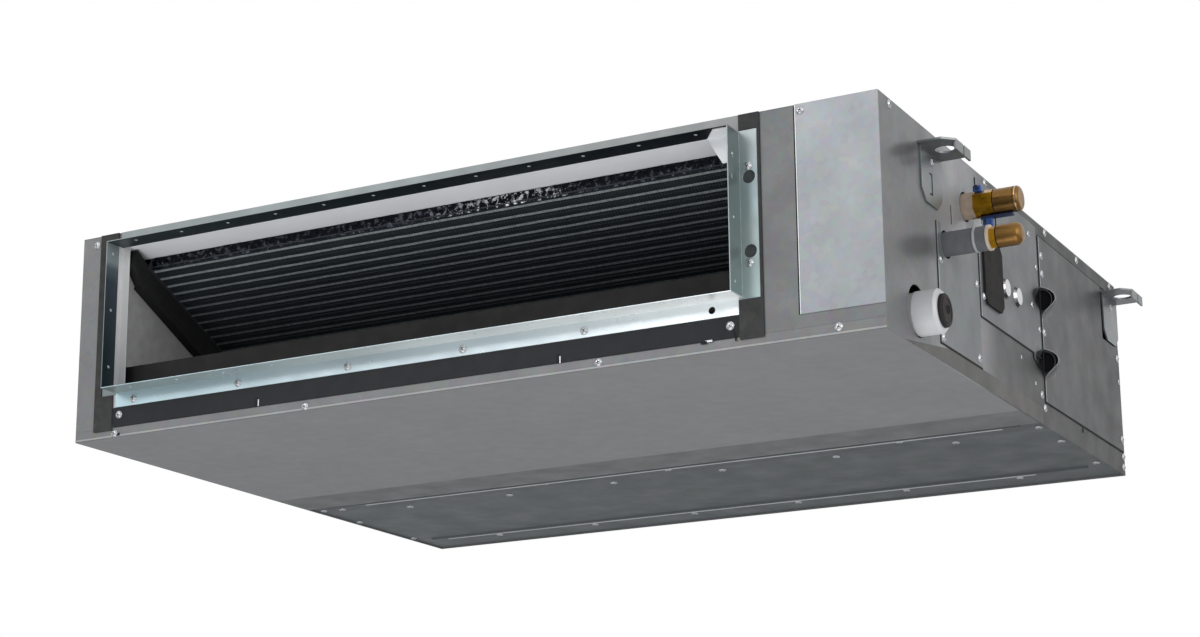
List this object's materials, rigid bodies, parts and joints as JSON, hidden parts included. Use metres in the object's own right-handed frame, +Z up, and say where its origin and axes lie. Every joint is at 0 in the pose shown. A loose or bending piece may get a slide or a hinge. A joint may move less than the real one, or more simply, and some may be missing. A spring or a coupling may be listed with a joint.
{
  "type": "ducted air conditioner indoor unit",
  "caption": "Slim ducted indoor unit of an air conditioner: sheet casing, sloping coil over a drain pan, twin centrifugal fans on one motor, pipe, drain and cable connections on one side.",
  "frame": {"origin": "middle of the casing's underside", "axes": "+X to the pipe side, -Y to the air outlet, +Z up"},
  "size_m": [1.122, 0.8305, 0.245],
  "materials": {
    "galvanised": "satin zinc coat",
    "galvanised_dark": "satin zinc coat",
    "felt": "pressed felt",
    "flange_zinc": "satin zinc coat",
    "flange_bright": "bright zinc coat",
    "liner_white": "smooth",
    "strip_light": "satin",
    "black_foam": "closed cell foam",
    "plate_dark": "satin",
    "cover_light": "satin",
    "liner_grey": "matt foam",
    "fins": "coated fins",
    "end_plate": "satin zinc coat",
    "copper": "drawn copper",
    "black_seal": "foam",
    "pan_black": "moulded foam",
    "socket_white": "moulded",
    "plug_rubber": "moulded",
    "float_plastic": "moulded",
    "float_body": "moulded",
    "tan_sleeve": "foam sleeve",
    "dark_sleeve": "foam sleeve",
    "brass": "turned",
    "brass_cap": "turned",
    "tie_plastic": "moulded",
    "scroll_plastic": "moulded",
    "wheel_plastic": "moulded",
    "shaft_steel": "ground",
    "motor_case": "satin",
    "bracket_zinc": "satin zinc coat",
    "box_zinc": "satin zinc coat",
    "board_green": "coated board",
    "terminal_plastic": "moulded",
    "cover_zinc": "satin zinc coat",
    "plug_grey": "moulded",
    "hanger_zinc": "satin zinc coat",
    "filter_net": "woven net in a moulded border"
  },
  "bodies": {
    "casing": {"top_panel": "galvanised", "left_side_panel": "galvanised", "right_side_panel": "galvanised", "bottom_front_panel": "galvanised", "underside_felt": "felt", "bottom_mid_strip": "galvanised_dark", "fan_service_panel": "galvanised", "inlet_frame": "galvanised", "outlet_flange_top": "flange_zinc", "outlet_flange_bottom": "flange_bright", "outlet_flange_left": "flange_zinc", "outlet_flange_right": "flange_bright", "outlet_top_deflector": "liner_white", "outlet_corner_tab": "liner_white", "opening_side_strips": "strip_light", "foam_strip_left": "black_foam", "foam_strip_right": "black_foam", "lower_front_plate": "plate_dark", "front_cover_plate": "cover_light", "side_insulation_left": "liner_grey", "coil_fins": "fins", "coil_end_plates": "end_plate", "coil_return_bends": "copper", "coil_side_seals": "black_seal", "gas_header": "copper", "liquid_distributor": "copper", "drain_pan": "pan_black", "drain_socket": "socket_white", "float_switch": "float_plastic", "gas_pipe": "copper", "gas_insulation": "tan_sleeve", "gas_union": "brass", "liquid_pipe": "copper", "liquid_insulation": "dark_sleeve", "liquid_union": "brass", "pipe_ties": "tie_plastic", "fan_deck": "galvanised", "fan_housing_left": "scroll_plastic", "fan_housing_right": "scroll_plastic", "fan_motor": "motor_case", "motor_bracket": "bracket_zinc", "partition": "galvanised", "control_box": "box_zinc", "control_board": "board_green", "terminal_block": "terminal_plastic", "pipe_cover_plate": "cover_zinc", "knockout_plugs": "plug_grey", "service_port_pad": "black_foam", "hanger_brackets_left": "hanger_zinc", "hanger_brackets_right": "hanger_zinc"},
    "fan_rotor": {"motor_shaft": "shaft_steel", "fan_wheel_left": "wheel_plastic", "fan_wheel_right": "wheel_plastic"},
    "filter": {"air_filter": "filter_net"},
    "plug": {"drain_plug": "plug_rubber"},
    "box_cover": {"control_box_cover": "cover_zinc"},
    "access_cover": {"drain_access_cover": "cover_zinc"},
    "float_body": {"float": "float_body"},
    "gas_cap": {"gas_cap_nut": "brass_cap"},
    "liquid_cap": {"liquid_cap_nut": "brass_cap"}
  },
  "joints": [
    {"name": "fan_spin", "type": "hinge", "parent": "casing", "child": "fan_rotor", "pos_m": [-0.066, 0.215, 0.122], "axis": [1, 0, 0], "continuous": true},
    {"name": "filter_pull", "type": "slide", "parent": "casing", "child": "filter", "axis": [0, 1, 0], "range_m": [0, 0.11]},
    {"name": "plug_pull", "type": "slide", "parent": "casing", "child": "plug", "axis": [1, 0, 0], "range_m": [0, 0.03]},
    {"name": "box_cover_pull", "type": "slide", "parent": "casing", "child": "box_cover", "axis": [1, 0, 0], "range_m": [0, 0.1]},
    {"name": "access_cover_pull", "type": "slide", "parent": "casing", "child": "access_cover", "axis": [1, 0, 0], "range_m": [0, 0.12]},
    {"name": "float_rise", "type": "slide", "parent": "casing", "child": "float_body", "axis": [0, 0, 1], "range_m": [0, 0.008]},
    {"name": "gas_cap_pull", "type": "slide", "parent": "casing", "child": "gas_cap", "axis": [1, 0, 0], "range_m": [0, 0.03]},
    {"name": "liquid_cap_pull", "type": "slide", "parent": "casing", "child": "liquid_cap", "axis": [1, 0, 0], "range_m": [0, 0.03]}
  ]
}
